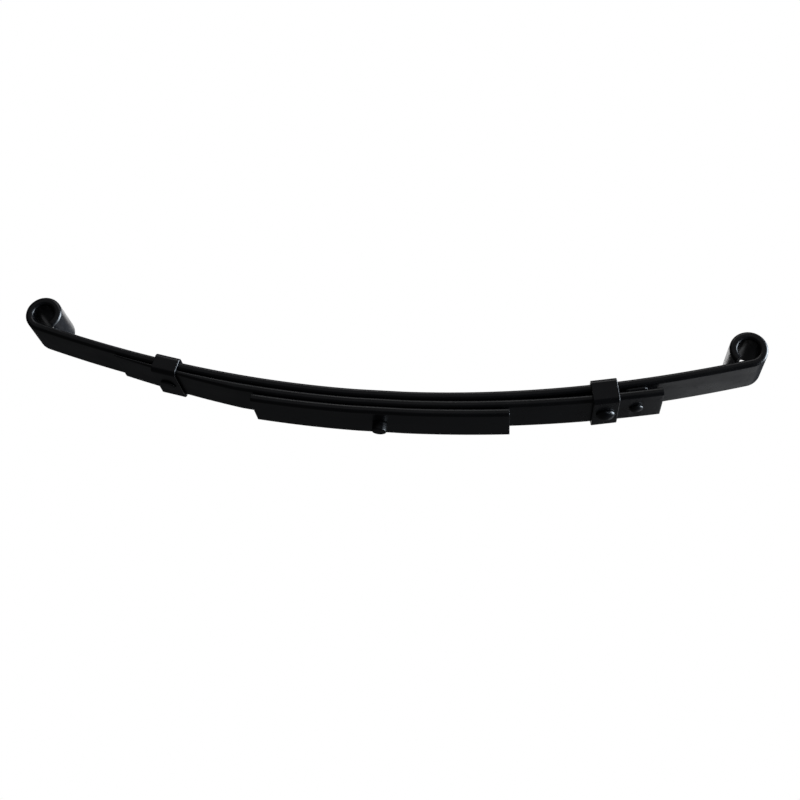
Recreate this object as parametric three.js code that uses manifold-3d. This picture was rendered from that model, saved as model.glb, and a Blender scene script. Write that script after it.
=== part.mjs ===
// A three-leaf suspension spring with rolled eyes, clips, a tip pad and a centre bolt.
// Millimetres. +X runs along the spring, +Y along the eye bores and +Z up. The origin is on the
// centre bolt, in the plane where the lowest leaf sits on its axle perch.

import * as THREE from "three";
import { mergeVertices } from "three/addons/utils/BufferGeometryUtils.js";
import Module from "manifold-3d";

const wasm = await Module();
wasm.setup();

// Driving dimensions.
const BAR_WIDTH = 44.45; // 1 3/4 in flat bar
const BAR_THICKNESS = 7.1;
const EYE_CENTRE_X = 304.8; // 24 in from eye to eye
const EYE_OUTER_R = 16.1;
const EYE_SWEEP = THREE.MathUtils.degToRad(301); // how far the bar is rolled round each eye
const EYE_STEPS = 25;
const SECOND_TIP_X = 233.5;
const THIRD_TIP_X = 108;
const REST_GAP = 0.3; // paint film between pieces that rest on each other

// The camber of the main leaf's underside: a flat seat, then a parabola that eases towards the eyes.
const SEAT_HALF = 20;
const CAMBER_SQUARE = 5.16e-4;
const CAMBER_FOURTH = 2.35e-10;

// How far the second leaf stands off the main leaf at its tips. The right tip rides on a pad.
const RIGHT_TIP_OPENING = 3.4;
const LEFT_TIP_OPENING = 0.4;
const THIRD_TIP_OPENING = 0.5;
const TAPER_START_X = -124; // the second leaf is rolled thin from here to its left tip
const TAPER_TIP_THICKNESS = 1.3;
const EDGE_ROUND = 2.7; // spring bar comes with nearly full-round edges
const THIN_EDGE_ROUND = 0.5;

const BOLT_R = 4;
const BOLT_HEAD_R = 6.35;
const BOLT_HEAD_HEIGHT = 8;
const NUT_ACROSS_FLATS = 12.7;
const NUT_HEIGHT = 5.5;
const BOLT_PROUD = 1.5; // thread showing above the nut
const HOLE_CLEARANCE = 0.35;
const SPOT_FACE_DEPTH = 0.3;
const HEAD_SPOT_R = 7.5;
const NUT_SPOT_R = 8.2;

const CLIP_X = 187;
const CLIP_WIDTH = 22;
const CLIP_THICKNESS = 2.3;
const CLIP_SIDE_CLEARANCE = 0.7;
const CLIP_TOP_CLEARANCE = 0.4;
const CLIP_INNER_CORNER_R = 1.8;
const CLIP_MOUTH = 20; // gap between the two ends bent over the main leaf
const CLIP_BEVEL = 0.5;

const RIVET_R = 4;
const DOME_RIVET_R = 8;
const DOME_RIVET_HEIGHT = 5;
const FLAT_RIVET_R = 7;
const FLAT_RIVET_HEIGHT = 1.6;
const UPSET_RIVET_R = 6.5;
const UPSET_RIVET_HEIGHT = 1.2;
const SUNK_RIVET_R = 5.6; // the left rivet is set into the leaf, which has the main leaf close above it
const SUNK_RIVET_DEPTH = 1.4;

const PAD_X = 212.5;
const PAD_LENGTH = 20;
const PAD_WIDTH = 40;
const PAD_CORNER_R = 4;
const PAD_THICKNESS = 2.3;
const PAD_STEM_R = 4.2;
const PAD_BUTTON_R = 5.8;
const PAD_BUTTON_HEIGHT = 3;

const LEAF_PITCH = BAR_THICKNESS + REST_GAP;
const MAIN_UNDERSIDE_Z = 2 * LEAF_PITCH;
const ROUND_SEGMENTS = 32;

// Finishes.
const gloss_black = { color: 0x1d1e22, roughness: 0.38, metalness: 0.25 };
const finishes = {
  leaf: gloss_black,
  clip: { color: 0x222328, roughness: 0.34, metalness: 0.3 },
  fastener: { color: 0x17181b, roughness: 0.42, metalness: 0.35 },
  rubber: { color: 0x101112, roughness: 0.7, metalness: 0 },
};

// --- The camber line -----------------------------------------------------------------------

function camber(x) {
  const reach = Math.max(Math.abs(x), SEAT_HALF);
  return CAMBER_SQUARE * (reach ** 2 - SEAT_HALF ** 2) - CAMBER_FOURTH * (reach ** 4 - SEAT_HALF ** 4);
}

function slopeAngle(x) {
  const flat = Math.abs(x) <= SEAT_HALF;
  return flat ? 0 : Math.atan(2 * CAMBER_SQUARE * x - 4 * CAMBER_FOURTH * x ** 3);
}

// The point at a height above the main leaf's underside, measured square to the leaf at station x.
function onLeaf(x, height) {
  const angle = slopeAngle(x);
  return new THREE.Vector2(
    x - height * Math.sin(angle),
    MAIN_UNDERSIDE_Z + camber(x) + height * Math.cos(angle),
  );
}

function secondTop(x) {
  const opening = x > 0 ? RIGHT_TIP_OPENING : LEFT_TIP_OPENING;
  return -REST_GAP - opening * (x / SECOND_TIP_X) ** 2;
}

function secondThickness(x) {
  const share = THREE.MathUtils.clamp((TAPER_START_X - x) / (SECOND_TIP_X + TAPER_START_X), 0, 1);
  return THREE.MathUtils.lerp(BAR_THICKNESS, TAPER_TIP_THICKNESS, share);
}

function secondUnderside(x) {
  return secondTop(x) - secondThickness(x);
}

function thirdTop(x) {
  return secondUnderside(x) - REST_GAP - THIRD_TIP_OPENING * (x / THIRD_TIP_X) ** 2;
}

function thirdUnderside(x) {
  return thirdTop(x) - BAR_THICKNESS;
}

// Stations from -reach to reach, with one at each end of the flat seat.
function stations(reach, spacing = 22) {
  const count = Math.ceil((reach - SEAT_HALF) / spacing);
  const right = [];
  for (let i = 0; i <= count; i += 1) {
    right.push(THREE.MathUtils.lerp(SEAT_HALF, reach, i / count));
  }
  const left = right.map((x) => -x).reverse();
  return [...left, ...right];
}

// --- Making solids -------------------------------------------------------------------------

function toSolid(geometry) {
  const bare = geometry.index ? geometry.toNonIndexed() : geometry.clone();
  bare.deleteAttribute("normal");
  bare.deleteAttribute("uv");
  const merged = mergeVertices(bare, 1e-4);
  const mesh = new wasm.Mesh({
    numProp: 3,
    vertProperties: Float32Array.from(merged.attributes.position.array),
    triVerts: Uint32Array.from(merged.index.array),
  });
  return new wasm.Manifold(mesh);
}

function toGeometry(solid) {
  const mesh = solid.getMesh();
  const geometry = new THREE.BufferGeometry();
  geometry.setAttribute("position", new THREE.BufferAttribute(mesh.vertProperties, 3));
  geometry.setIndex(new THREE.BufferAttribute(mesh.triVerts, 1));
  geometry.computeVertexNormals();
  return geometry;
}

function cut(geometry, cutters) {
  let solid = toSolid(geometry);
  for (const cutter of cutters) {
    solid = solid.subtract(toSolid(cutter));
  }
  return toGeometry(solid);
}

// A side outline in X and Z, made as wide as the bar with its long edges rounded.
function barFromOutline(points, edgeRound) {
  const geometry = new THREE.ExtrudeGeometry(new THREE.Shape(points), {
    depth: BAR_WIDTH - 2 * edgeRound,
    steps: 1,
    bevelEnabled: true,
    bevelThickness: edgeRound,
    bevelSize: edgeRound,
    bevelOffset: -edgeRound,
    bevelSegments: 3,
  });
  geometry.translate(0, 0, edgeRound - BAR_WIDTH / 2);
  geometry.rotateX(Math.PI / 2);
  return geometry;
}

// A round rod standing on Z, from z = low to z = high.
function rod(radius, low, high) {
  const geometry = new THREE.CylinderGeometry(radius, radius, high - low, ROUND_SEGMENTS);
  geometry.rotateX(Math.PI / 2);
  geometry.translate(0, 0, (low + high) / 2);
  return geometry;
}

// A turned piece on Z from a profile of [radius, z] points that starts and ends on the axis.
function turned(profile, segments = ROUND_SEGMENTS) {
  const points = profile.map(([radius, z]) => new THREE.Vector2(radius, z));
  const geometry = new THREE.LatheGeometry(points, segments);
  geometry.rotateX(Math.PI / 2);
  return geometry;
}

// Profile points of a domed head from its rim down to the axis.
function domeProfile(radius, baseZ, height, steps = 5) {
  const points = [];
  for (let i = 0; i <= steps; i += 1) {
    const angle = ((i / steps) * Math.PI) / 2;
    points.push([radius * Math.cos(angle), baseZ - height * Math.sin(angle)]);
  }
  points[steps][0] = 0;
  return points;
}

// Moves a geometry made about the Z axis to station x, square to the leaf, at a height over its underside.
function atStation(geometry, x, height = 0) {
  const place = onLeaf(x, height);
  geometry.rotateY(-slopeAngle(x));
  geometry.translate(place.x, 0, place.y);
  return geometry;
}

function piece(name, geometry, finish) {
  const mesh = new THREE.Mesh(geometry, new THREE.MeshStandardMaterial(finishes[finish]));
  mesh.name = name;
  return mesh;
}

// --- Leaves --------------------------------------------------------------------------------

// The station where the underside starts to roll, found so that the eye's centre is where it should be.
function eyeTangentX() {
  let x = EYE_CENTRE_X;
  for (let i = 0; i < 6; i += 1) {
    x = EYE_CENTRE_X + EYE_OUTER_R * Math.sin(slopeAngle(x));
  }
  return x;
}

// Points round one eye at a radius, starting under the eye and rolling up and back over the leaf.
function eyeArc(side, tangentX, radius) {
  const angle = slopeAngle(side * tangentX);
  const centre = onLeaf(side * tangentX, EYE_OUTER_R);
  const points = [];
  for (let i = 0; i <= EYE_STEPS; i += 1) {
    const turn = side * EYE_SWEEP * (i / EYE_STEPS) - Math.PI / 2 + angle;
    points.push(new THREE.Vector2(centre.x + radius * Math.cos(turn), centre.y + radius * Math.sin(turn)));
  }
  return points;
}

function boltHole() {
  return rod(BOLT_R + HOLE_CLEARANCE, -5, MAIN_UNDERSIDE_Z + 2 * BAR_THICKNESS);
}

function mainLeaf() {
  const tangentX = eyeTangentX();
  const xs = stations(tangentX).slice(1, -1);
  const innerR = EYE_OUTER_R - BAR_THICKNESS;
  const outline = [
    ...eyeArc(-1, tangentX, EYE_OUTER_R).reverse(),
    ...xs.map((x) => onLeaf(x, 0)),
    ...eyeArc(1, tangentX, EYE_OUTER_R),
    ...eyeArc(1, tangentX, innerR).reverse(),
    ...xs.map((x) => onLeaf(x, BAR_THICKNESS)).reverse(),
    ...eyeArc(-1, tangentX, innerR),
  ];
  const topZ = MAIN_UNDERSIDE_Z + BAR_THICKNESS;
  const nutSpot = rod(NUT_SPOT_R, topZ - SPOT_FACE_DEPTH, topZ + 2);
  return cut(barFromOutline(outline, EDGE_ROUND), [boltHole(), nutSpot]);
}

function shortLeaf(reach, top, underside, edgeRound, cutters) {
  const xs = stations(reach);
  const outline = [
    ...xs.map((x) => onLeaf(x, underside(x))),
    ...xs.map((x) => onLeaf(x, top(x))).reverse(),
  ];
  return cut(barFromOutline(outline, edgeRound), cutters);
}

// The left rivet's set end stops just short of the top of the second leaf.
function sunkRivetTop() {
  return secondTop(-CLIP_X) - HOLE_CLEARANCE / 2;
}

function secondLeaf() {
  const rivetHoleR = RIVET_R + HOLE_CLEARANCE;
  const coneLow = sunkRivetTop() - SUNK_RIVET_DEPTH - HOLE_CLEARANCE;
  const countersink = turned([
    [0, coneLow],
    [RIVET_R, coneLow],
    [SUNK_RIVET_R + HOLE_CLEARANCE, sunkRivetTop()],
    [SUNK_RIVET_R + HOLE_CLEARANCE, 2],
    [0, 2],
  ]);
  const cutters = [
    boltHole(),
    atStation(rod(rivetHoleR, -20, 2), -CLIP_X),
    atStation(rod(rivetHoleR, -20, 2), CLIP_X),
    atStation(countersink, -CLIP_X),
    atStation(rod(PAD_STEM_R + HOLE_CLEARANCE, -20, 2), PAD_X),
  ];
  return shortLeaf(SECOND_TIP_X, secondTop, secondUnderside, THIN_EDGE_ROUND, cutters);
}

function thirdLeaf() {
  const headSpot = rod(HEAD_SPOT_R, -2, SPOT_FACE_DEPTH);
  return shortLeaf(THIRD_TIP_X, thirdTop, thirdUnderside, EDGE_ROUND, [boltHole(), headSpot]);
}

// --- Centre bolt and nut -------------------------------------------------------------------

const NUT_BASE_Z = MAIN_UNDERSIDE_Z + BAR_THICKNESS;

function centreBolt() {
  const endZ = NUT_BASE_Z + NUT_HEIGHT + BOLT_PROUD;
  const chamfer = 0.9;
  return turned([
    [0, -BOLT_HEAD_HEIGHT],
    [BOLT_HEAD_R - chamfer, -BOLT_HEAD_HEIGHT],
    [BOLT_HEAD_R, chamfer - BOLT_HEAD_HEIGHT],
    [BOLT_HEAD_R, 0],
    [BOLT_R, 0],
    [BOLT_R, endZ - chamfer],
    [BOLT_R - chamfer, endZ],
    [0, endZ],
  ]);
}

function centreNut() {
  const bevel = 0.5;
  const cornerR = NUT_ACROSS_FLATS / Math.sqrt(3);
  const hexagon = new THREE.Shape();
  for (let i = 0; i < 6; i += 1) {
    const angle = (i * Math.PI) / 3;
    const corner = [cornerR * Math.cos(angle), cornerR * Math.sin(angle)];
    if (i === 0) hexagon.moveTo(...corner);
    else hexagon.lineTo(...corner);
  }
  const geometry = new THREE.ExtrudeGeometry(hexagon, {
    depth: NUT_HEIGHT - 2 * bevel,
    bevelThickness: bevel,
    bevelSize: bevel,
    bevelOffset: -bevel,
    bevelSegments: 1,
  });
  geometry.translate(0, 0, NUT_BASE_Z + bevel);
  return cut(geometry, [rod(BOLT_R + REST_GAP, 0, NUT_BASE_Z + 2 * NUT_HEIGHT)]);
}

// --- Clips and their rivets ----------------------------------------------------------------

// The height of the inside of a clip's base: below the thickest part of the second leaf that it holds.
function clipFloor(side) {
  const innerEdge = side * (CLIP_X - CLIP_WIDTH / 2);
  const outerEdge = side * (CLIP_X + CLIP_WIDTH / 2);
  return Math.min(secondUnderside(innerEdge), secondUnderside(outerEdge)) - REST_GAP;
}

// One strap round both leaves, its two ends bent over the main leaf. The outline is in Y and height.
function clip(side) {
  const floor = clipFloor(side);
  const ceiling = BAR_THICKNESS + CLIP_TOP_CLEARANCE;
  const inner = BAR_WIDTH / 2 + CLIP_SIDE_CLEARANCE;
  const outer = inner + CLIP_THICKNESS;
  const innerR = CLIP_INNER_CORNER_R;
  const outerR = innerR + CLIP_THICKNESS;
  const mouth = CLIP_MOUTH / 2;
  const base = floor - CLIP_THICKNESS;
  const crown = ceiling + CLIP_THICKNESS;
  const quarter = Math.PI / 2;
  const outline = new THREE.Shape();
  outline.moveTo(mouth, ceiling);
  outline.absarc(inner - innerR, ceiling - innerR, innerR, quarter, 0, true);
  outline.absarc(inner - innerR, floor + innerR, innerR, 0, -quarter, true);
  outline.absarc(innerR - inner, floor + innerR, innerR, -quarter, -2 * quarter, true);
  outline.absarc(innerR - inner, ceiling - innerR, innerR, 2 * quarter, quarter, true);
  outline.lineTo(-mouth, ceiling);
  outline.lineTo(-mouth, crown);
  outline.absarc(outerR - outer, crown - outerR, outerR, quarter, 2 * quarter, false);
  outline.absarc(outerR - outer, base + outerR, outerR, -2 * quarter, -quarter, false);
  outline.absarc(outer - outerR, base + outerR, outerR, -quarter, 0, false);
  outline.absarc(outer - outerR, crown - outerR, outerR, 0, quarter, false);
  outline.lineTo(mouth, crown);
  const strap = new THREE.ExtrudeGeometry(outline, {
    depth: CLIP_WIDTH - 2 * CLIP_BEVEL,
    curveSegments: 5,
    bevelThickness: CLIP_BEVEL,
    bevelSize: CLIP_BEVEL,
    bevelOffset: -CLIP_BEVEL,
    bevelSegments: 1,
  });
  strap.translate(0, 0, CLIP_BEVEL - CLIP_WIDTH / 2);
  strap.rotateX(Math.PI / 2);
  strap.rotateZ(Math.PI / 2);
  const hole = rod(RIVET_R + HOLE_CLEARANCE, base - 1, floor + 1);
  return atStation(cut(strap, [hole]), side * CLIP_X);
}

function underClip(side) {
  return clipFloor(side) - CLIP_THICKNESS - REST_GAP;
}

// A flat head under the clip, the shank, and a set end sunk into the top of the second leaf.
function leftRivet() {
  const low = underClip(-1);
  const topZ = sunkRivetTop();
  const profile = [
    [0, low - FLAT_RIVET_HEIGHT],
    [FLAT_RIVET_R - FLAT_RIVET_HEIGHT / 2, low - FLAT_RIVET_HEIGHT],
    [FLAT_RIVET_R, low - FLAT_RIVET_HEIGHT / 2],
    [FLAT_RIVET_R, low],
    [RIVET_R, low],
    [RIVET_R, topZ - SUNK_RIVET_DEPTH],
    [SUNK_RIVET_R, topZ],
    [0, topZ],
  ];
  return atStation(turned(profile), -CLIP_X);
}

// A domed head under the clip, the shank, and a set head on top of the second leaf.
function rightRivet() {
  const low = underClip(1);
  const setZ = secondTop(CLIP_X - UPSET_RIVET_R) + REST_GAP;
  const profile = [
    ...domeProfile(DOME_RIVET_R, low, DOME_RIVET_HEIGHT).reverse(),
    [RIVET_R, low],
    [RIVET_R, setZ],
    [UPSET_RIVET_R, setZ],
    [UPSET_RIVET_R, setZ + UPSET_RIVET_HEIGHT / 2],
    [UPSET_RIVET_R - 1, setZ + UPSET_RIVET_HEIGHT],
    [0, setZ + UPSET_RIVET_HEIGHT],
  ];
  return atStation(turned(profile), CLIP_X);
}

// --- Tip pad -------------------------------------------------------------------------------

// A flat pad between the two leaves, with a stem through the second leaf and a button below it.
function tipPad() {
  const outline = new THREE.Shape();
  const halfLength = PAD_LENGTH / 2;
  const halfWidth = PAD_WIDTH / 2;
  const r = PAD_CORNER_R;
  outline.absarc(halfLength - r, halfWidth - r, r, 0, Math.PI / 2, false);
  outline.absarc(r - halfLength, halfWidth - r, r, Math.PI / 2, Math.PI, false);
  outline.absarc(r - halfLength, r - halfWidth, r, Math.PI, 1.5 * Math.PI, false);
  outline.absarc(halfLength - r, r - halfWidth, r, 1.5 * Math.PI, 2 * Math.PI, false);
  const plate = new THREE.ExtrudeGeometry(outline, {
    depth: PAD_THICKNESS,
    curveSegments: 4,
    bevelEnabled: false,
  });
  const plateBase = -REST_GAP - PAD_THICKNESS;
  plate.translate(0, 0, plateBase);
  const underside = secondUnderside(PAD_X + PAD_BUTTON_R) - REST_GAP;
  const button = turned([
    ...domeProfile(PAD_BUTTON_R, underside, PAD_BUTTON_HEIGHT).reverse(),
    [PAD_STEM_R, underside],
    [PAD_STEM_R, plateBase + 1],
    [0, plateBase + 1],
  ]);
  const joined = toSolid(plate).add(toSolid(button));
  return atStation(toGeometry(joined), PAD_X);
}

// --- Assembly ------------------------------------------------------------------------------

const spring = new THREE.Group();
spring.add(
  piece("main_leaf", mainLeaf(), "leaf"),
  piece("second_leaf", secondLeaf(), "leaf"),
  piece("third_leaf", thirdLeaf(), "leaf"),
  piece("centre_bolt", centreBolt(), "fastener"),
  piece("centre_nut", centreNut(), "fastener"),
  piece("left_clip", clip(-1), "clip"),
  piece("right_clip", clip(1), "clip"),
  piece("left_clip_rivet", leftRivet(), "fastener"),
  piece("right_clip_rivet", rightRivet(), "fastener"),
  piece("tip_pad", tipPad(), "rubber"),
);

export default spring;
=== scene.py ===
# The looks of a three-leaf spring: rolled leaves, clips, rivets, a tip pad and the centre bolt,
# all in black paint. Metres. +X runs along the spring, +Y along the eye bores and +Z up.

import math

import bmesh
import bpy
from mathutils import Matrix, Vector


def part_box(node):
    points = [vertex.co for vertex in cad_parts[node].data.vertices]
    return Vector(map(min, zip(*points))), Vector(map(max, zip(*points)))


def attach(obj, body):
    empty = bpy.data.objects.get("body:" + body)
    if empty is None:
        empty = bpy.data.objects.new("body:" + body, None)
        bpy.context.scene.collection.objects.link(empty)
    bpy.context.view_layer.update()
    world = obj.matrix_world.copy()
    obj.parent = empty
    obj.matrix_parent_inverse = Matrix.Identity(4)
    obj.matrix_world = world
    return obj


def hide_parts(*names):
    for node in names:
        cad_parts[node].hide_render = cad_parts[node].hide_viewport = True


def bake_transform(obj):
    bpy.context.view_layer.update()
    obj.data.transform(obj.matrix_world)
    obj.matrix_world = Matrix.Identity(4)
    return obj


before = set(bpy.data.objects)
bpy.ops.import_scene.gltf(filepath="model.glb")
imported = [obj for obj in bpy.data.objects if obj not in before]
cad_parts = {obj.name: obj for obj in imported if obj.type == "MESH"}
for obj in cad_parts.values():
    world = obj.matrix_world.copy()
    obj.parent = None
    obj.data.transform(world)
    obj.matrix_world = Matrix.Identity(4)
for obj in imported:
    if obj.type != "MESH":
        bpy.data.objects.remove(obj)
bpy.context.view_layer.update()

# --- Driving dimensions ---------------------------------------------------------------------

leaf_low, leaf_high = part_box("main_leaf")
BAR_WIDTH = leaf_high.y - leaf_low.y
BAR_THICKNESS = 0.0071
EDGE_ROUND = 0.0027
REST_GAP = 0.0003  # paint film between pieces that rest on each other
LEAF_PITCH = BAR_THICKNESS + REST_GAP
MAIN_UNDERSIDE = 2 * LEAF_PITCH

EYE_CENTRE_X = 0.3048
EYE_OUTER_R = 0.0161
EYE_SWEEP = math.radians(301)
SECOND_TIP = 0.2335
THIRD_TIP = 0.108

SEAT_HALF = 0.020
CAMBER_SQUARE = 0.516
CAMBER_FOURTH = 0.235
# How fast the second leaf falls away from the main leaf, and the third leaf from the second.
RIGHT_OPENING = 0.0034 / SECOND_TIP**2
LEFT_OPENING = 0.0004 / SECOND_TIP**2
THIRD_OPENING = 0.0005 / THIRD_TIP**2
TAPER_START = -0.124
TAPER_TIP_THICKNESS = 0.0013
NO_TAPER = -9.0  # a taper that starts far past the tip leaves a leaf at its full thickness
NO_ROLL = 9.0  # a roll that starts there leaves a leaf without an eye

BOLT_R = 0.004
BOLT_HEAD_R = 0.00635
BOLT_HEAD_HEIGHT = 0.008
NUT_ACROSS_FLATS = 0.0127
NUT_HEIGHT = 0.0055
NUT_BASE = MAIN_UNDERSIDE + BAR_THICKNESS
NUT_CHAMFER = 0.00055
BOLT_PROUD = 0.0015
BOLT_HEAD_ROUND = 0.0011
BOLT_END_CHAMFER = 0.0008
HOLE_CLEARANCE = 0.00035

THREAD_PITCH = 0.00106
THREAD_DEPTH = 0.0005
THREAD_RUN_IN = 0.0015  # the thread starts this far below the nut's top
THREAD_LEAST_R = 0.0025  # the bolt's end face stays flat inside this radius
THREAD_STEP = 0.00012
NO_THREAD = 9.0  # a thread that starts far above a piece leaves it plain

CLIP_X = 0.187
CLIP_WIDTH = 0.022
CLIP_THICKNESS = 0.0023
CLIP_SIDE_CLEARANCE = 0.0007
CLIP_TOP_CLEARANCE = 0.0004
CLIP_INNER_CORNER_R = 0.0018
CLIP_EDGE_ROUND = 0.0007
CLIP_MOUTH = 0.020

RIVET_R = 0.004
DOME_RIVET_R = 0.008
DOME_RIVET_HEIGHT = 0.005
DOME_RIVET_RIM = 0.0004
FLAT_RIVET_R = 0.007
FLAT_RIVET_HEIGHT = 0.0016
UPSET_RIVET_R = 0.0065
UPSET_RIVET_HEIGHT = 0.0012
UPSET_RIVET_CHAMFER = 0.001
SUNK_RIVET_R = 0.0056
SUNK_RIVET_DEPTH = 0.0014
RIVET_CORNER_R = 0.00025

PAD_X = 0.2125
PAD_LENGTH = 0.020
PAD_WIDTH = 0.040
PAD_CORNER_R = 0.004
PAD_THICKNESS = 0.0023
PAD_STEM_R = 0.0042
PAD_BUTTON_R = 0.0058
PAD_BUTTON_HEIGHT = 0.003
PAD_BUTTON_RIM = 0.0003
PAD_STEM_OVERLAP = 0.001

# How finely the shapes are drawn, and how their edges are eased.
MM = 0.001
LEAF_RING_SPACING = 1.6 * MM
STRAP_RING_SPACING = 0.55 * MM
STRAP_BEND_STEPS = 12
ROUND_SIDES = 64
ARC_SHARE = 0.45  # an arc uses at most this much of each side of its corner
SECTION_LEAD = 0.3 * MM
EASED_EDGE = 0.5 * MM
EASED_STEPS = 3
LEAST_EASED_ANGLE = math.radians(50)
SMOOTH_ANGLE = math.radians(34)
DRILL_REACH = 3 * BAR_THICKNESS
TOOL_OVERRUN = MM
SAME_POINT = 0.002 * MM
ON_THE_CUT = 0.001 * MM
WORN_RADIUS = 0.9 * MM  # an edge as tight as this counts as fully exposed
LEAST_ACROSS = 1e-6
NO_LENGTH = 1e-7


# --- The camber line ------------------------------------------------------------------------

def camber(x):
    reach = max(abs(x), SEAT_HALF)
    return CAMBER_SQUARE * (reach**2 - SEAT_HALF**2) - CAMBER_FOURTH * (reach**4 - SEAT_HALF**4)


def slope_angle(x):
    if abs(x) <= SEAT_HALF:
        return 0.0
    return math.atan(2 * CAMBER_SQUARE * x - 4 * CAMBER_FOURTH * x**3)


def second_top(x):
    opening = RIGHT_OPENING if x > 0 else LEFT_OPENING
    return -REST_GAP - opening * x * x


def second_thickness(x):
    share = min(max((TAPER_START - x) / (TAPER_START + SECOND_TIP), 0), 1)
    return BAR_THICKNESS + share * (TAPER_TIP_THICKNESS - BAR_THICKNESS)


def second_underside(x):
    return second_top(x) - second_thickness(x)


def eye_tangent():
    """The station where the underside starts to roll up into the eye."""
    x = EYE_CENTRE_X
    for _ in range(6):
        x = EYE_CENTRE_X + EYE_OUTER_R * math.sin(slope_angle(x))
    return x


def at_station(x):
    """The place on the main leaf's underside at station x, square to the leaf."""
    place = Matrix.Translation((x, 0, MAIN_UNDERSIDE + camber(x)))
    return place @ Matrix.Rotation(-slope_angle(x), 4, "Y")


# --- Outlines -------------------------------------------------------------------------------

def rounded(corners, radius, steps=6, closed=False, lead=0.0):
    """A chain of points with its corners made arcs, and a point a lead off each end of an arc."""
    points = []
    count = len(corners)
    for i, corner in enumerate(corners):
        here = Vector(corner)
        if not closed and i in (0, count - 1):
            points.append(here)
            continue
        before = Vector(corners[i - 1]) - here
        after = Vector(corners[(i + 1) % count]) - here
        half = before.angle(after) / 2
        reach = min(radius / math.tan(half), ARC_SHARE * before.length, ARC_SHARE * after.length)
        arc_r = reach * math.tan(half)
        inwards = (before.normalized() + after.normalized()).normalized()
        centre = here + inwards * (arc_r / math.sin(half))
        start = (here + before.normalized() * reach - centre).normalized()
        end = (here + after.normalized() * reach - centre).normalized()
        if lead:
            points.append(here + before.normalized() * (reach + lead))
        for step in range(steps + 1):
            points.append(centre + start.slerp(end, step / steps).normalized() * arc_r)
        if lead:
            points.append(here + after.normalized() * (reach + lead))
    return points


def bar_section(width, low, high, edge_round):
    """The closed section of a flat bar: across the bar in X, through its thickness in Y."""
    half = width / 2
    corners = [(-half, low), (half, low), (half, high), (-half, high)]
    return rounded(corners, edge_round, closed=True, lead=SECTION_LEAD)


def subdivided(points, spacing):
    """The same chain of points with no step longer than spacing."""
    result = [Vector(points[0])]
    for point in points[1:]:
        before, after = result[-1], Vector(point)
        steps = math.ceil((after - before).length / spacing)
        result += [before.lerp(after, step / steps) for step in range(1, steps + 1)]
    return result


def dome(radius, height, rim, steps=12):
    """(radius, height) points of a domed head from its crown down, ending in a straight rim."""
    turns = [math.pi / 2 * step / steps for step in range(steps + 1)]
    cap = [(radius * math.sin(turn), rim + (height - rim) * math.cos(turn)) for turn in turns]
    return [*cap, (radius, 0)]


def line_mesh(name, points, closed):
    """A chain of edges in the XY plane."""
    mesh = bpy.data.meshes.new(name)
    count = len(points)
    edges = [(i, (i + 1) % count) for i in range(count if closed else count - 1)]
    mesh.from_pydata([(*point, 0) for point in points], edges, [])
    return mesh


# --- Geometry node trees --------------------------------------------------------------------

class Field:
    """A number in a node tree. Sums and products of fields become math nodes."""

    def __init__(self, tree, socket):
        self.tree = tree
        self.socket = socket

    def math(self, operation, *others):
        node = self.tree.nodes.new("ShaderNodeMath")
        node.operation = operation
        for place, value in enumerate((self, *others)):
            if isinstance(value, Field):
                self.tree.links.new(value.socket, node.inputs[place])
            else:
                node.inputs[place].default_value = value
        return Field(self.tree, node.outputs[0])

    def __add__(self, other):
        return self.math("ADD", other)

    def __sub__(self, other):
        return self.math("SUBTRACT", other)

    def __mul__(self, other):
        return self.math("MULTIPLY", other)

    def __truediv__(self, other):
        return self.math("DIVIDE", other)

    def __pow__(self, power):
        return self.math("POWER", power)

    def clamped(self):
        return self.math("MAXIMUM", 0.0).math("MINIMUM", 1.0)


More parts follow.
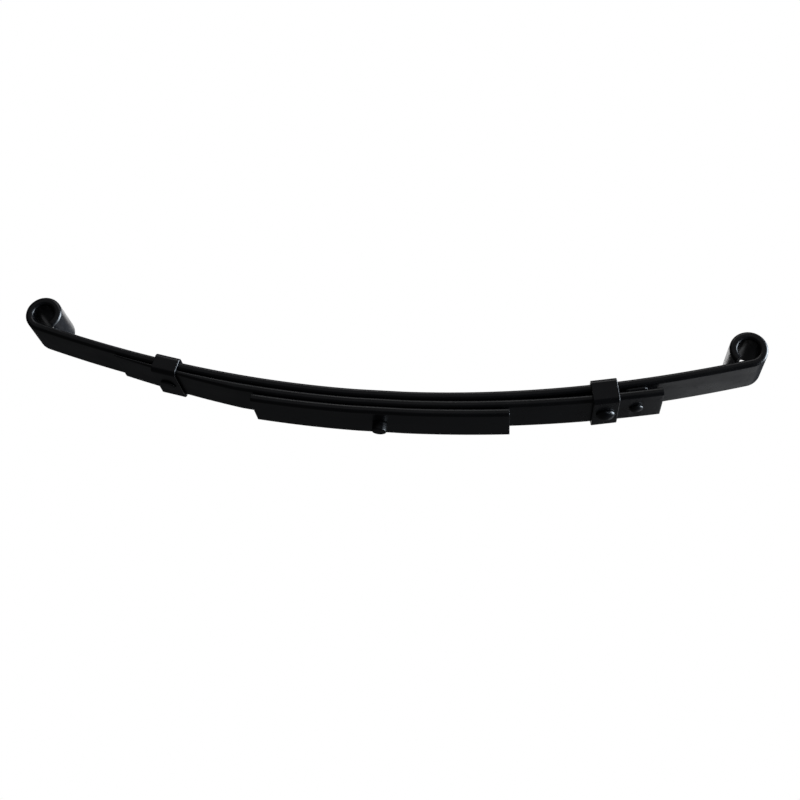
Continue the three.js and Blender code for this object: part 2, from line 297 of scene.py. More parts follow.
class Tree:
    """A geometry tree under construction, with named sizes and at most one tool object."""

    def __init__(self, name, sizes, tool=None):
        self.tree = bpy.data.node_groups.new(name, "GeometryNodeTree")
        face = self.tree.interface
        face.new_socket("Geometry", in_out="INPUT", socket_type="NodeSocketGeometry")
        for size in sizes:
            face.new_socket(size, in_out="INPUT", socket_type="NodeSocketFloat")
        if tool:
            face.new_socket(tool, in_out="INPUT", socket_type="NodeSocketObject")
        face.new_socket("Finish", in_out="INPUT", socket_type="NodeSocketMaterial")
        face.new_socket("Geometry", in_out="OUTPUT", socket_type="NodeSocketGeometry")
        self.given = self.tree.nodes.new("NodeGroupInput")

    def node(self, kind, settings=None, **links):
        """A node, with its settings and what goes into its inputs, named with _ for spaces."""
        node = self.tree.nodes.new(kind)
        for name, value in (settings or {}).items():
            setattr(node, name, value)
        for name, value in links.items():
            self.feed(node, name.replace("_", " "), value)
        return node

    def feed(self, node, name, value):
        places = [socket for socket in node.inputs if socket.name == name and socket.enabled]
        if isinstance(value, Field):
            value = value.socket
        if isinstance(value, bpy.types.Node):
            value = next(socket for socket in value.outputs if socket.enabled)
        if isinstance(value, bpy.types.NodeSocket):
            self.tree.links.new(value, places[0])
        else:
            places[0].default_value = value

    def size(self, name):
        return Field(self.tree, self.given.outputs[name])

    def parts(self, vector):
        split = self.node("ShaderNodeSeparateXYZ", Vector=vector)
        return [Field(self.tree, output) for output in split.outputs]

    def vector(self, x, y, z):
        return self.node("ShaderNodeCombineXYZ", X=x, Y=y, Z=z)

    def kept(self, geometry, value, kind="VECTOR"):
        """Geometry that carries a value with it: the geometry socket and the value's socket."""
        node = self.tree.nodes.new("GeometryNodeCaptureAttribute")
        node.capture_items.new(kind, "Kept")
        self.feed(node, "Geometry", geometry)
        self.feed(node, "Kept", value)
        return node.outputs["Geometry"], node.outputs["Kept"]

    def finish(self, geometry):
        """Ends the tree: smooth faces, real geometry, and the finish on it."""
        smooth = self.node("GeometryNodeSetShadeSmooth", Geometry=geometry)
        real = self.node("GeometryNodeRealizeInstances", Geometry=smooth)
        finish = self.given.outputs["Finish"]
        painted = self.node("GeometryNodeSetMaterial", Geometry=real, Material=finish)
        end = self.tree.nodes.new("NodeGroupOutput")
        self.tree.links.new(painted.outputs[0], end.inputs[0])
        return self.tree


def swept(build, section, path, station):
    """A section swept along a path, with each point's place in the section and its station."""
    section, place = build.kept(section, build.node("GeometryNodeInputPosition"))
    path, along = build.kept(path, station, "FLOAT")
    solid = build.node("GeometryNodeCurveToMesh", Curve=path, Profile_Curve=section, Fill_Caps=True)
    across, through, _ = build.parts(place)
    return solid, Field(build.tree, along), across, through


def rolled_leaf_tree():
    """A flat bar, drilled, then set to its camber and rolled round an eye past the roll start."""
    build = Tree("Rolled leaf", [
        "Left end", "Right end", "Ring spacing", "Seat half", "Camber square", "Camber fourth",
        "Seat height", "Top at seat", "Left opening", "Right opening", "Thickness", "Taper start",
        "Taper end", "Tip thickness", "Roll start", "Eye radius",
    ], tool="Drills")
    left, right = build.size("Left end"), build.size("Right end")
    length = right - left
    rings = (length / build.size("Ring spacing")).math("CEIL")
    line = build.node("GeometryNodeMeshLine", {"mode": "END_POINTS"}, Count=rings)
    build.feed(line, "Offset", (1.0, 0.0, 0.0))
    path = build.node("GeometryNodeMeshToCurve", Mesh=line)
    share = build.node("GeometryNodeSplineParameter").outputs["Factor"]
    section = build.node("GeometryNodeMeshToCurve", Mesh=build.given.outputs["Geometry"])
    bar, along, across, through = swept(build, section, path, share)
    station = left + length * along
    laid_out = build.vector(station, across, through)
    flat = build.node("GeometryNodeSetPosition", Geometry=bar, Position=laid_out)

    drills = build.node("GeometryNodeObjectInfo", Object=build.given.outputs["Drills"])
    cutting = {"operation": "DIFFERENCE", "solver": "EXACT"}
    drilled = build.node("GeometryNodeMeshBoolean", cutting)
    build.tree.links.new(flat.outputs[0], drilled.inputs["Mesh 1"])
    build.tree.links.new(drills.outputs["Geometry"], drilled.inputs["Mesh 2"])
    blank = build.node("GeometryNodeStoreNamedAttribute", {"data_type": "FLOAT_VECTOR"})
    build.feed(blank, "Geometry", drilled.outputs["Mesh"])
    build.feed(blank, "Name", "flat_bar")
    build.feed(blank, "Value", build.node("GeometryNodeInputPosition"))

    station, across, through = build.parts(build.node("GeometryNodeInputPosition"))
    seat, start, eye_r = build.size("Seat half"), build.size("Roll start"), build.size("Eye radius")
    square, fourth = build.size("Camber square"), build.size("Camber fourth")
    side = station.math("SIGN")
    reach = station.math("ABSOLUTE").math("MINIMUM", start)
    x = side * reach
    bent = reach.math("MAXIMUM", seat)
    rise = square * (bent**2 - seat**2) - fourth * (bent**4 - seat**4)
    slope = (square * x * 2 - fourth * x**3 * 4) * reach.math("GREATER_THAN", seat)
    angle = slope.math("ARCTANGENT")

    start_taper, end_taper = build.size("Taper start"), build.size("Taper end")
    thickness, tip = build.size("Thickness"), build.size("Tip thickness")
    thinning = ((start_taper - station) / (start_taper - end_taper)).clamped()
    here = thickness + (tip - thickness) * thinning
    right_side = station.math("GREATER_THAN", 0.0)
    to_the_left, to_the_right = build.size("Left opening"), build.size("Right opening")
    opening = to_the_left + (to_the_right - to_the_left) * right_side
    top = build.size("Top at seat") - opening * x * x
    height = top - here + here * (through / thickness)

    roll = angle + side * (station.math("ABSOLUTE") - start).math("MAXIMUM", 0.0) / eye_r
    radius = eye_r - height
    eye_x = x - eye_r * angle.math("SINE")
    eye_z = build.size("Seat height") + rise + eye_r * angle.math("COSINE")
    place = build.vector(
        eye_x + radius * roll.math("SINE"), across, eye_z - radius * roll.math("COSINE"),
    )
    formed = build.node("GeometryNodeSetPosition", Geometry=blank, Position=place)
    return build.finish(formed)


def bent_strap_tree():
    """A flat strip that follows a path of straight runs with a round bend at each corner."""
    build = Tree("Bent strap", ["Bend radius", "Ring spacing"], tool="Section")
    path = build.node("GeometryNodeMeshToCurve", Mesh=build.given.outputs["Geometry"])
    bends = build.node("GeometryNodeFilletCurve", Curve=path)
    bends.mode = "POLY"
    build.feed(bends, "Count", STRAP_BEND_STEPS)
    build.feed(bends, "Radius", build.size("Bend radius"))
    even = build.node("GeometryNodeResampleCurve", {"mode": "LENGTH"}, Curve=bends)
    build.feed(even, "Length", build.size("Ring spacing"))
    outline = build.node("GeometryNodeObjectInfo", Object=build.given.outputs["Section"])
    section = build.node("GeometryNodeMeshToCurve", Mesh=outline.outputs["Geometry"])
    solid = build.node("GeometryNodeCurveToMesh", Curve=even, Profile_Curve=section, Fill_Caps=True)
    return build.finish(solid)


def turned_piece_tree():
    """A profile turned once round the Z axis, with a thread cut where it is asked for."""
    build = Tree("Turned piece", ["Sides", "Thread above", "Thread pitch", "Thread depth"])
    circle = build.node("GeometryNodeCurvePrimitiveCircle", Resolution=build.size("Sides"))
    share = build.node("GeometryNodeSplineParameter").outputs["Factor"]
    profile = build.node("GeometryNodeMeshToCurve", Mesh=build.given.outputs["Geometry"])
    shell, turn, radius, height = swept(build, profile, circle, share)
    pitch = build.size("Thread pitch")
    wave = (height / pitch - turn).math("FRACT").math("SUBTRACT", 0.5).math("ABSOLUTE") * 2
    threaded = height.math("GREATER_THAN", build.size("Thread above"))
    outside = radius.math("GREATER_THAN", THREAD_LEAST_R)
    cut = build.size("Thread depth") * wave * threaded * outside
    angle = turn * math.tau
    cut_radius = radius - cut
    place = build.vector(
        cut_radius * angle.math("COSINE"), cut_radius * angle.math("SINE"), height,
    )
    turned = build.node("GeometryNodeSetPosition", Geometry=shell, Position=place)
    closed = build.node("GeometryNodeMergeByDistance", Geometry=turned, Distance=SAME_POINT)
    return build.finish(closed)


ROLLED_LEAF = rolled_leaf_tree()
BENT_STRAP = bent_strap_tree()
TURNED_PIECE = turned_piece_tree()


# --- Making a piece -------------------------------------------------------------------------

def shown(name, mesh):
    """An object in the scene."""
    thing = bpy.data.objects.new(name, mesh)
    bpy.context.scene.collection.objects.link(thing)
    return thing


def made(name, base, tree, edge=0.0, **inputs):
    """The plain mesh that a tree makes from a base mesh. Its sharp edges are eased by edge."""
    maker = shown(name + "_maker", base)
    modifier = maker.modifiers.new("shape", "NODES")
    modifier.node_group = tree
    for item in tree.interface.items_tree:
        given = item.name.lower().replace(" ", "_")
        if item.in_out == "INPUT" and given in inputs:
            modifier[item.identifier] = inputs[given]
    if edge:
        eased = maker.modifiers.new("eased edges", "BEVEL")
        eased.width = edge
        eased.segments = EASED_STEPS
        eased.limit_method = "ANGLE"
        eased.angle_limit = LEAST_EASED_ANGLE
    mesh = plain(maker)
    mesh.name = name
    return mesh


def plain(maker):
    """The evaluated mesh of an object, which is then removed."""
    depsgraph = bpy.context.evaluated_depsgraph_get()
    mesh = bpy.data.meshes.new_from_object(maker.evaluated_get(depsgraph))
    bpy.data.objects.remove(maker)
    face_outwards(mesh)
    return mesh


def face_outwards(mesh):
    """Turns every face of a closed mesh to the outside."""
    work = bmesh.new()
    work.from_mesh(mesh)
    bmesh.ops.recalc_face_normals(work, faces=work.faces)
    work.to_mesh(mesh)
    work.free()


def mark_worn(mesh):
    """Stores how exposed each point is: near 1 on a sharp outer edge, 0 on a flat or hollow."""
    work = bmesh.new()
    work.from_mesh(mesh)
    exposed = []
    for vertex in work.verts:
        curving = 0.0
        for edge in vertex.link_edges:
            if len(edge.link_faces) == 2:
                area = sum(face.calc_area() for face in edge.link_faces) / 2
                across = max(area / max(edge.calc_length(), NO_LENGTH), LEAST_ACROSS)
                curving = max(curving, edge.calc_face_angle_signed(0) / across)
        exposed.append(min(curving * WORN_RADIUS, 1.0))
    work.free()
    layer = mesh.attributes.new("worn", "FLOAT", "POINT")
    layer.data.foreach_set("value", exposed)


def combined(mesh, other, operation):
    """A mesh with another one cut out of it, kept inside it or joined to it."""
    maker, tool = shown("combined", mesh), shown("tool", other)
    modifier = maker.modifiers.new("combined", "BOOLEAN")
    modifier.operation = operation
    modifier.object = tool
    modifier.solver = "EXACT"
    result = plain(maker)
    bpy.data.objects.remove(tool)
    return result


def cylinder(radius, low, high, x=0.0, sides=ROUND_SIDES):
    """An upright cylinder, or a prism with fewer sides."""
    mesh = bpy.data.meshes.new("cylinder")
    work = bmesh.new()
    place = Matrix.Translation((x, 0, (low + high) / 2))
    bmesh.ops.create_cone(
        work, cap_ends=True, segments=sides, radius1=radius, radius2=radius, depth=high - low,
        matrix=place,
    )
    work.to_mesh(mesh)
    work.free()
    return mesh


def turned(name, profile, finish=None, thread_above=NO_THREAD):
    """A piece turned on the Z axis from (radius, height) points."""
    base = line_mesh(name, profile, closed=False)
    return made(
        name, base, TURNED_PIECE, finish=finish, sides=float(ROUND_SIDES),
        thread_above=thread_above, thread_pitch=THREAD_PITCH, thread_depth=THREAD_DEPTH,
    )


def joined(meshes):
    """Several meshes as one, each left whole."""
    work = bmesh.new()
    for mesh in meshes:
        work.from_mesh(mesh)
    whole = bpy.data.meshes.new("joined")
    work.to_mesh(whole)
    work.free()
    return whole


def painted_all_over(mesh, finish):
    mesh.materials.clear()
    mesh.materials.append(finish)
    return mesh


def keep_piece(name, mesh, body, slot, *nodes):
    """A finished piece that stands for CAD nodes, and rides on a body if one is given."""
    thing = shown(name, mesh)
    for face in mesh.polygons:
        face.use_smooth = True
    mesh.set_sharp_from_angle(angle=SMOOTH_ANGLE)
    mark_worn(mesh)
    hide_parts(*nodes)
    if body:
        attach(thing, body)
    return thing


# --- Finishes -------------------------------------------------------------------------------

class Finish:
    """A material under construction."""

    def __init__(self, name, pattern):
        self.material = bpy.data.materials.new(name)
        self.material.use_nodes = True
        self.tree = self.material.node_tree
        self.shader = self.tree.nodes["Principled BSDF"]
        if pattern == "Object":
            self.place = self.tree.nodes.new("ShaderNodeTexCoord").outputs["Object"]
        else:
            self.place = self.read(pattern).outputs["Vector"]

    def read(self, name):
        """The node that reads a value kept on the mesh."""
        node = self.tree.nodes.new("ShaderNodeAttribute")
        node.attribute_name = name
        return node

    def feed(self, node, name, value):
        socket = node.inputs[name]
        if isinstance(value, Field):
            value = value.socket
        if isinstance(value, bpy.types.NodeSocket):
            self.tree.links.new(value, socket)
        else:
            socket.default_value = value

    def noise(self, per_metre, detail=3.0, roughness=0.55, stretch=(1.0, 1.0, 1.0)):
        """Cloudy noise from 0 to 1, with its grain size given as grains in a metre."""
        place = self.tree.nodes.new("ShaderNodeMapping")
        place.inputs["Scale"].default_value = stretch
        self.tree.links.new(self.place, place.inputs["Vector"])
        node = self.tree.nodes.new("ShaderNodeTexNoise")
        node.inputs["Scale"].default_value = per_metre
        node.inputs["Detail"].default_value = detail
        node.inputs["Roughness"].default_value = roughness
        self.tree.links.new(place.outputs[0], node.inputs["Vector"])
        return Field(self.tree, node.outputs["Fac"])

    def ramp(self, value, low, high, to_low=0.0, to_high=1.0):
        """A value's smooth step between low and high, set to the range to_low to to_high."""
        limits = {"From Min": low, "From Max": high, "To Min": to_low, "To Max": to_high}
        node = self.tree.nodes.new("ShaderNodeMapRange")
        node.interpolation_type = "SMOOTHSTEP"
        for name, number in limits.items():
            node.inputs[name].default_value = number
        self.feed(node, "Value", value)
        return Field(self.tree, node.outputs["Result"])

    def mix(self, share, first, second):
        node = self.tree.nodes.new("ShaderNodeMix")
        node.data_type = "RGBA"
        self.feed(node, "Factor", share)
        for place, colour in ((6, first), (7, second)):
            if isinstance(colour, bpy.types.NodeSocket):
                self.tree.links.new(colour, node.inputs[place])
            else:
                node.inputs[place].default_value = (*colour, 1.0)
        return node.outputs[2]

    def bump(self, height, distance, under=None):
        """Relief as deep as distance, over the relief under it."""
        node = self.tree.nodes.new("ShaderNodeBump")
        node.inputs["Strength"].default_value = 1.0
        node.inputs["Distance"].default_value = distance
        self.feed(node, "Height", height)
        if under is not None:
            self.tree.links.new(under, node.inputs["Normal"])
        return node.outputs["Normal"]

    def set(self, **sockets):
        for name, value in sockets.items():
            self.feed(self.shader, name.replace("_", " "), value)
        return self.material


BLACK = (0.0027, 0.0027, 0.0036)
SOFT_BLACK = (0.0053, 0.0053, 0.0066)
DUST = (0.105, 0.098, 0.088)
BARE_STEEL = (0.34, 0.33, 0.32)
PEEL_DEPTH = 0.016 * MM
SCALE_DEPTH = 0.05 * MM
RUB_DEPTH = 0.05 * MM
NO_WEAR = -0.5

# Grain sizes, in grains in a metre.
CLOUD_GRAIN = 38.0
DRAWN_GRAIN = 60.0
PEEL_GRAIN = 620.0
SCALE_GRAIN = 210.0
SPECK_GRAIN = 1500.0
CHIP_GRAIN = 330.0
FLOOR_GRAIN = 3.0
DRAWN_LENGTHWAYS = (0.08, 1.0, 1.0)


def black_paint(name, pattern, gloss, grain, wear):
    """Thick black paint over steel: orange peel, scale showing through, dust and rubbed edges."""
    paint = Finish(name, pattern)
    cloud = paint.noise(CLOUD_GRAIN, detail=4.0)
    drawn = paint.noise(DRAWN_GRAIN, detail=3.0, stretch=DRAWN_LENGTHWAYS)
    peel = paint.noise(PEEL_GRAIN, detail=1.5)
    scale = paint.ramp(paint.noise(SCALE_GRAIN, detail=5.0, roughness=0.62), 0.56, 0.72)
    speck = paint.ramp(paint.noise(SPECK_GRAIN, detail=2.0), 0.70, 0.76)
    exposed = Field(paint.tree, paint.read("worn").outputs["Fac"])
    chips = paint.noise(CHIP_GRAIN, detail=4.0, roughness=0.7)
    rubbed = paint.ramp(exposed + chips * 0.8 - 0.4, 1.12 - wear, 1.18 - wear)
    colour = paint.mix(cloud, BLACK, SOFT_BLACK)
    colour = paint.mix(speck * 0.35, colour, DUST)
    colour = paint.mix(rubbed, colour, BARE_STEEL)
    rough = paint.ramp(cloud * 0.6 + drawn * 0.4, 0.3, 0.7, gloss, gloss + 0.13)
    rough = rough + speck * 0.25 + scale * 0.05
    relief = paint.bump(peel, PEEL_DEPTH * grain)
    relief = paint.bump(scale, SCALE_DEPTH * grain, under=relief)
    relief = paint.bump(rubbed * -1.0, RUB_DEPTH, under=relief)
    return paint.set(
        Base_Color=colour, Roughness=rough, Metallic=rubbed * 0.9, Normal=relief, IOR=1.5,
    )


# The leaves' paint follows the bar as it was before it was bent.
LEAF_PAINT = black_paint("Leaf black paint", "flat_bar", gloss=0.24, grain=1.0, wear=0.0)
CLIP_PAINT = black_paint("Clip black paint", "Object", gloss=0.20, grain=0.8, wear=0.03)
FASTENER_PAINT = black_paint("Fastener black paint", "Object", gloss=0.22, grain=0.7, wear=0.06)
PAD_PAINT = black_paint("Painted pad rubber", "Object", gloss=0.26, grain=0.5, wear=NO_WEAR)


# --- Leaves ---------------------------------------------------------------------------------

def drill(x, radius):
    """A drill for a plain hole across the flat bar at station x."""
    return cylinder(radius + HOLE_CLEARANCE, -DRILL_REACH, DRILL_REACH, x)


def leaf_halves(name, half_length, drills, **sizes):
    """A leaf, drilled and formed, then parted at the centre bolt into two halves."""
    section = line_mesh(name, bar_section(BAR_WIDTH, 0, BAR_THICKNESS, EDGE_ROUND), closed=True)
    tool = shown("drills", joined(drills))
    rule = dict(
        left_end=-half_length, right_end=half_length, ring_spacing=LEAF_RING_SPACING,
        seat_half=SEAT_HALF, seat_height=MAIN_UNDERSIDE,
        camber_square=CAMBER_SQUARE, camber_fourth=CAMBER_FOURTH,
        left_opening=0.0, right_opening=0.0,
        thickness=BAR_THICKNESS, tip_thickness=BAR_THICKNESS,
        taper_start=NO_TAPER, taper_end=NO_TAPER - 1,
        roll_start=NO_ROLL, eye_radius=EYE_OUTER_R,
    )
    rule.update(sizes)
    whole = made(
        name, section, ROLLED_LEAF, edge=EASED_EDGE, drills=tool, finish=LEAF_PAINT, **rule,
    )
    bpy.data.objects.remove(tool)
    for side, end in ((-1, "left"), (1, "right")):
        half = keep_piece(f"{name}_{end}_half", half_of(whole, side), None, "leaf_paint", name)
        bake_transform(half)


def half_of(whole, side):
    """The closed half of a leaf on one side of the centre bolt."""
    work = bmesh.new()
    work.from_mesh(whole)
    everything = [*work.verts, *work.edges, *work.faces]
    bmesh.ops.bisect_plane(
        work, geom=everything, dist=ON_THE_CUT, plane_co=(0, 0, 0), plane_no=(side, 0, 0),
        clear_inner=True,
    )
    rim = [edge for edge in work.edges if edge.is_boundary]
    bmesh.ops.holes_fill(work, edges=rim, sides=0)
    bmesh.ops.recalc_face_normals(work, faces=work.faces)
    half = bpy.data.meshes.new(whole.name + "_half")
    work.to_mesh(half)
    work.free()
    half.materials.append(LEAF_PAINT)
    return half


def sunk_drill():
    """A stepped drill for the left rivet. Its cone is deep, as the leaf is thinned there later."""
    stretch = BAR_THICKNESS / second_thickness(-CLIP_X)
    cone_low = BAR_THICKNESS - (SUNK_RIVET_DEPTH + 1.5 * HOLE_CLEARANCE) * stretch
    cone_high = BAR_THICKNESS - 0.5 * HOLE_CLEARANCE * stretch
    narrow, wide = RIVET_R + HOLE_CLEARANCE, SUNK_RIVET_R + HOLE_CLEARANCE
    profile = [
        (0, -DRILL_REACH), (narrow, -DRILL_REACH), (narrow, cone_low),
        (wide, cone_high), (wide, DRILL_REACH), (0, DRILL_REACH),
    ]
    mesh = turned("stepped drill", profile)
    mesh.transform(Matrix.Translation((-CLIP_X, 0, 0)))
    return mesh


tangent = eye_tangent()
leaf_halves(
    "main_leaf", tangent + EYE_SWEEP * EYE_OUTER_R, [drill(0, BOLT_R)],
    top_at_seat=BAR_THICKNESS, roll_start=tangent,
)
leaf_halves(
    "second_leaf", SECOND_TIP,
    [sunk_drill(), drill(0, BOLT_R), drill(CLIP_X, RIVET_R), drill(PAD_X, PAD_STEM_R)],
    top_at_seat=-REST_GAP, left_opening=LEFT_OPENING, right_opening=RIGHT_OPENING,
    taper_start=TAPER_START, taper_end=-SECOND_TIP, tip_thickness=TAPER_TIP_THICKNESS,
)
leaf_halves(
    "third_leaf", THIRD_TIP, [drill(0, BOLT_R)], top_at_seat=-REST_GAP - LEAF_PITCH,
    left_opening=LEFT_OPENING + THIRD_OPENING, right_opening=RIGHT_OPENING + THIRD_OPENING,
)


# --- Centre bolt and nut --------------------------------------------------------------------

def centre_bolt():
    """A round head below the leaves, a plain shank, and a thread through and past the nut."""
    top = NUT_BASE + NUT_HEIGHT + BOLT_PROUD
    thread_start = NUT_BASE + NUT_HEIGHT - THREAD_RUN_IN
    lower = [
        (0, -BOLT_HEAD_HEIGHT), (BOLT_HEAD_R, -BOLT_HEAD_HEIGHT), (BOLT_HEAD_R, 0), (BOLT_R, 0),
        (BOLT_R, thread_start),
    ]
    upper = [
        (BOLT_R, thread_start), (BOLT_R, top - BOLT_END_CHAMFER), (BOLT_R - BOLT_END_CHAMFER, top),
        (0, top),
    ]
    profile = rounded(lower, BOLT_HEAD_ROUND)[:-1] + subdivided(upper, THREAD_STEP)
    return turned("centre_bolt", profile, FASTENER_PAINT, thread_above=thread_start)


def centre_nut():
    """A hexagon with its corners taken off above and below, bored for the bolt."""
    corner_r = NUT_ACROSS_FLATS / math.sqrt(3)
    flat_r = NUT_ACROSS_FLATS / 2
    low, high = NUT_BASE, NUT_BASE + NUT_HEIGHT
    barrel = [
        (0, low), (flat_r, low), (corner_r, low + NUT_CHAMFER), (corner_r, high - NUT_CHAMFER),
        (flat_r, high), (0, high),
    ]
    hexagon = cylinder(corner_r, low - TOOL_OVERRUN, high + TOOL_OVERRUN, sides=6)
    body = combined(hexagon, turned("barrel", barrel), "INTERSECT")
    bore = cylinder(BOLT_R + REST_GAP, low - TOOL_OVERRUN, high + TOOL_OVERRUN)
    nut = combined(body, bore, "DIFFERENCE")
    return painted_all_over(nut, FASTENER_PAINT)


keep_piece("centre_bolt_fine", centre_bolt(), "leaf_pack", "fastener_paint", "centre_bolt")
keep_piece("centre_nut_fine", centre_nut(), "leaf_pack", "fastener_paint", "centre_nut")


# --- Clips and their rivets -----------------------------------------------------------------

def clip_floor(side):
    """How high a clip's inside floor lies, measured from the main leaf's underside."""
    edges = [side * (CLIP_X - CLIP_WIDTH / 2), side * (CLIP_X + CLIP_WIDTH / 2)]
    return min(second_underside(x) for x in edges) - REST_GAP


def clip(side, name):
    """A strap round both long leaves, with its two ends bent over the main leaf."""
    half = CLIP_THICKNESS / 2
    wall = BAR_WIDTH / 2 + CLIP_SIDE_CLEARANCE + half
    crown = BAR_THICKNESS + CLIP_TOP_CLEARANCE + half
    base = clip_floor(side) - half
    mouth = CLIP_MOUTH / 2
    path = [
        (mouth, crown), (wall, crown), (wall, base), (-wall, base), (-wall, crown), (-mouth, crown),
    ]
    outline = bar_section(CLIP_THICKNESS, -CLIP_WIDTH / 2, CLIP_WIDTH / 2, CLIP_EDGE_ROUND)
    section = shown("section", line_mesh("section", outline, closed=True))
    strap = made(
        name, line_mesh(name, path, closed=False), BENT_STRAP, edge=EASED_EDGE, section=section,
        finish=CLIP_PAINT, bend_radius=CLIP_INNER_CORNER_R + half, ring_spacing=STRAP_RING_SPACING,
    )
    bpy.data.objects.remove(section)
    upright = Matrix(((0, 0, 1, 0), (1, 0, 0, 0), (0, 1, 0, 0), (0, 0, 0, 1)))
    strap.transform(upright)
    hole = cylinder(RIVET_R + HOLE_CLEARANCE, base - CLIP_THICKNESS, base + CLIP_THICKNESS)
    strap = combined(strap, hole, "DIFFERENCE")
    strap.transform(at_station(side * CLIP_X))
    return strap


def under_clip(side):
    """How high the rivet's head sits, just below the clip."""
    return clip_floor(side) - CLIP_THICKNESS - REST_GAP


def left_rivet():
    """A flat head under the clip, the shank, and a set end sunk into the top of the second leaf."""
    low = under_clip(-1)
    top = second_top(-CLIP_X) - HOLE_CLEARANCE / 2
    base = low - FLAT_RIVET_HEIGHT
    chamfer = FLAT_RIVET_HEIGHT / 2
    profile = [
        (0, base), (FLAT_RIVET_R - chamfer, base),
        (FLAT_RIVET_R, low - chamfer), (FLAT_RIVET_R, low), (RIVET_R, low),
        (RIVET_R, top - SUNK_RIVET_DEPTH), (SUNK_RIVET_R, top), (0, top),
    ]
    mesh = turned("left_rivet", rounded(profile, RIVET_CORNER_R, steps=3), FASTENER_PAINT)
    mesh.transform(at_station(-CLIP_X))
    return mesh


def right_rivet():
    """A domed head under the clip, the shank, and a set head on top of the second leaf."""
    low = under_clip(1)
    set_face = second_top(CLIP_X - UPSET_RIVET_R) + REST_GAP
    set_top = set_face + UPSET_RIVET_HEIGHT
    head = dome(DOME_RIVET_R, DOME_RIVET_HEIGHT, DOME_RIVET_RIM)
    profile = [(radius, low - height) for radius, height in head] + [
        (RIVET_R, low), (RIVET_R, set_face), (UPSET_RIVET_R, set_face),
        (UPSET_RIVET_R, set_face + UPSET_RIVET_HEIGHT / 2),
        (UPSET_RIVET_R - UPSET_RIVET_CHAMFER, set_top), (0, set_top),
    ]
    mesh = turned("right_rivet", rounded(profile, RIVET_CORNER_R, steps=3), FASTENER_PAINT)
    mesh.transform(at_station(CLIP_X))
    return mesh


# --- Tip pad --------------------------------------------------------------------------------

def tip_pad():
    """A flat pad between the leaves, a stem through the second leaf and a button below it."""
    corners = [
        (-PAD_LENGTH / 2, -PAD_WIDTH / 2), (PAD_LENGTH / 2, -PAD_WIDTH / 2),
        (PAD_LENGTH / 2, PAD_WIDTH / 2), (-PAD_LENGTH / 2, PAD_WIDTH / 2),
    ]
    top, base = -REST_GAP, -REST_GAP - PAD_THICKNESS
    work = bmesh.new()
    outline = rounded(corners, PAD_CORNER_R, steps=8, closed=True)
    rim = [work.verts.new((point.x, point.y, base)) for point in outline]
    bottom = work.faces.new(rim)
    raised = bmesh.ops.extrude_face_region(work, geom=[bottom])["geom"]
    moved = [item for item in raised if isinstance(item, bmesh.types.BMVert)]
    bmesh.ops.translate(work, verts=moved, vec=(0, 0, top - base))
    bmesh.ops.recalc_face_normals(work, faces=work.faces)
    edges = [edge for edge in work.edges if edge.calc_face_angle(0) > LEAST_EASED_ANGLE]
    bmesh.ops.bevel(
        work, geom=edges, offset=EASED_EDGE, segments=EASED_STEPS, affect="EDGES", profile=0.5,
    )
    plate = bpy.data.meshes.new("plate")
    work.to_mesh(plate)
    work.free()
    under = second_underside(PAD_X + PAD_BUTTON_R) - REST_GAP
    button = dome(PAD_BUTTON_R, PAD_BUTTON_HEIGHT, PAD_BUTTON_RIM)
    stem_top = base + PAD_STEM_OVERLAP
    profile = [(radius, under - height) for radius, height in button] + [
        (PAD_STEM_R, under), (PAD_STEM_R, stem_top), (0, stem_top),
    ]
    mesh = combined(plate, turned("button", profile, PAD_PAINT), "UNION")
    painted_all_over(mesh, PAD_PAINT)
    mesh.transform(at_station(PAD_X))
    return mesh


keep_piece("left_clip_strap", clip(-1, "left_clip"), "left_end", "clip_paint", "left_clip")
keep_piece("right_clip_strap", clip(1, "right_clip"), "right_end", "clip_paint", "right_clip")
keep_piece("left_rivet", left_rivet(), "left_end", "fastener_paint", "left_clip_rivet")
keep_piece("right_rivet", right_rivet(), "right_end", "fastener_paint", "right_clip_rivet")
keep_piece("tip_pad_fine", tip_pad(), "right_end", "pad_rubber", "tip_pad")


# --- Studio ---------------------------------------------------------------------------------

FLOOR_Z = -0.85
FLOOR_HALF = 4.0
FLOOR_DARK = (0.78, 0.78, 0.78)
FLOOR_LIGHT = (0.82, 0.82, 0.82)
WHITE = (1.0, 1.0, 1.0)
ROOM_TONE = (0.92, 0.95, 1.0)
ROOM_STRENGTH = 0.038


def floor():
    """A pale floor that is seen, but not mirrored in the paint."""
    mesh = bpy.data.meshes.new("floor")
    half = FLOOR_HALF
    corners = [(-half, -half), (half, -half), (half, half), (-half, half)]
    mesh.from_pydata([(x, y, FLOOR_Z) for x, y in corners], [], [(0, 1, 2, 3)])
    pale = Finish("Pale floor", "Object")
    tone = pale.mix(pale.noise(FLOOR_GRAIN, detail=2.0), FLOOR_DARK, FLOOR_LIGHT)
    mesh.materials.append(pale.set(Base_Color=tone, Roughness=0.8))
    ground = shown("floor", mesh)
    ground.visible_diffuse = False
    ground.visible_glossy = False


def softbox(name, at, aim, size, power, colour=WHITE, spread=180):
    """A soft light turned towards its aim, with its size in metres and its power in watts."""
    data = bpy.data.lights.new(name, "AREA")
    data.shape = "RECTANGLE"
    data.size, data.size_y = size
    data.energy = power
    data.color = colour
    data.spread = math.radians(spread)
    lamp = bpy.data.objects.new(name, data)
    bpy.context.scene.collection.objects.link(lamp)
    lamp.location = at
    lamp.rotation_euler = (Vector(aim) - Vector(at)).to_track_quat("-Z", "Y").to_euler()
    lamp.visible_camera = False


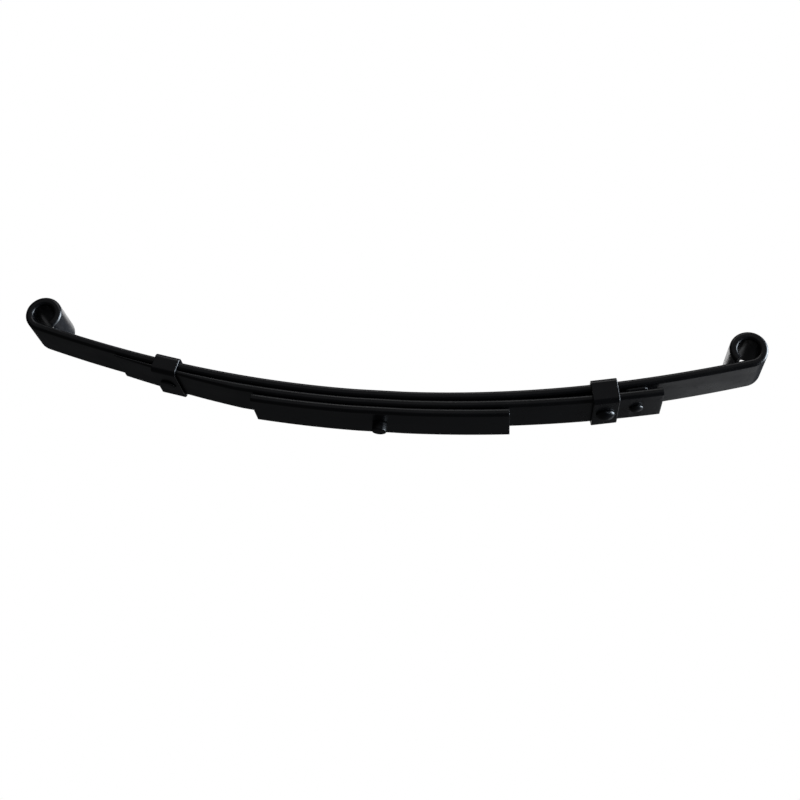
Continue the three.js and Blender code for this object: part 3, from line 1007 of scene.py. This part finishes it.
def surroundings():
    """White all round where the camera looks, and a dim room everywhere else."""
    world = bpy.data.worlds.new("Studio")
    bpy.context.scene.world = world
    world.use_nodes = True
    nodes, links = world.node_tree.nodes, world.node_tree.links
    dim = nodes["Background"]
    dim.inputs["Color"].default_value = (*ROOM_TONE, 1.0)
    dim.inputs["Strength"].default_value = ROOM_STRENGTH
    white = nodes.new("ShaderNodeBackground")
    white.inputs["Strength"].default_value = 1.0
    white.inputs["Color"].default_value = (*WHITE, 1.0)
    share = nodes.new("ShaderNodeMixShader")
    path = nodes.new("ShaderNodeLightPath")
    links.new(path.outputs["Is Camera Ray"], share.inputs[0])
    links.new(dim.outputs[0], share.inputs[1])
    links.new(white.outputs[0], share.inputs[2])
    links.new(share.outputs[0], nodes["World Output"].inputs[0])


CAMERA_AT = Vector((0.1335, -1.0470, -0.4202))
CAMERA_YAW = math.radians(-6.450)
CAMERA_PITCH = math.radians(22.790)
CAMERA_ROLL = math.radians(5.687)
CAMERA_LENS = 60.15
SENSOR_WIDTH = 36


def camera():
    """The camera, turned by its yaw, then its pitch, then its roll."""
    data = bpy.data.cameras.new("camera")
    data.lens = CAMERA_LENS
    data.sensor_width = SENSOR_WIDTH
    eye = bpy.data.objects.new("camera", data)
    bpy.context.scene.collection.objects.link(eye)
    yaw = Matrix.Rotation(-CAMERA_YAW, 4, "Z")
    pitch = Matrix.Rotation(math.pi / 2 + CAMERA_PITCH, 4, "X")
    roll = Matrix.Rotation(CAMERA_ROLL, 4, "Z")
    eye.matrix_world = Matrix.Translation(CAMERA_AT) @ yaw @ pitch @ roll
    bpy.context.scene.camera = eye


floor()
surroundings()
softbox("side light", (1.5, 0.1, 0.35), (0.1, 0, 0), (1.8, 1.8), 34, (0.80, 0.90, 1.0), spread=70)
softbox("back light", (1.3, 1.7, -0.45), (0.1, 0, 0), (1.3, 0.8), 1.2, (0.95, 0.97, 1.0))
softbox("front light", (-0.4, -2.4, 1.0), (0, 0, 0), (3.0, 1.8), 1.8)
softbox("top light", (0, -1.0, 1.6), (0, 0, 0), (1.2, 0.8), 4.0)
softbox("rear light", (-0.6, 1.8, 1.2), (0, 0, 0), (1.6, 1.0), 7.0)
softbox("floor light", (0, 0, FLOOR_Z + 0.5), (0, 0, FLOOR_Z), (10.0, 10.0), 360)
camera()

bpy.context.scene.view_settings.view_transform = "Standard"
